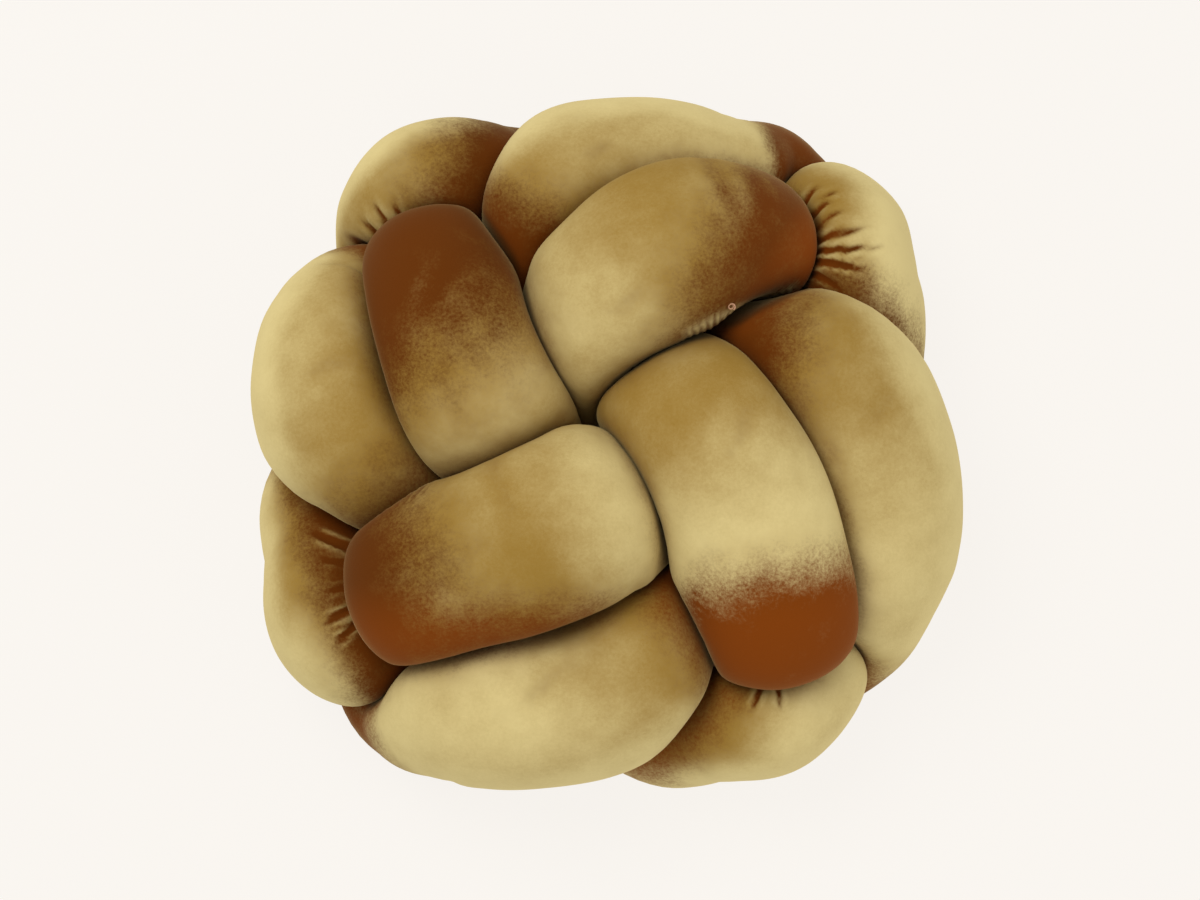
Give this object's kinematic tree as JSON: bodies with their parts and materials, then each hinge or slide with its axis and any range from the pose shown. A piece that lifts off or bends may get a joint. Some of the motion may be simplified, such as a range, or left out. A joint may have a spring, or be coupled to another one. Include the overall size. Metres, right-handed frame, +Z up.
{
  "type": "knot cushion",
  "caption": "Square knot cushion: a fat filled velvet tube laid over and under itself, used as a floor cushion or low pouf.",
  "frame": {"origin": "on the floor, under the middle of the cushion's outline", "axes": "+Z up through the face with the crossed passes, +Y away from the front edge, +X to the right"},
  "size_m": [0.6002, 0.5892, 0.2697],
  "materials": {
    "gold_velvet": "short velvet pile, gold that turns brown where the pile lies the other way"
  },
  "bodies": {
    "root": {"knot_tube": "gold_velvet"}
  },
  "joints": []
}
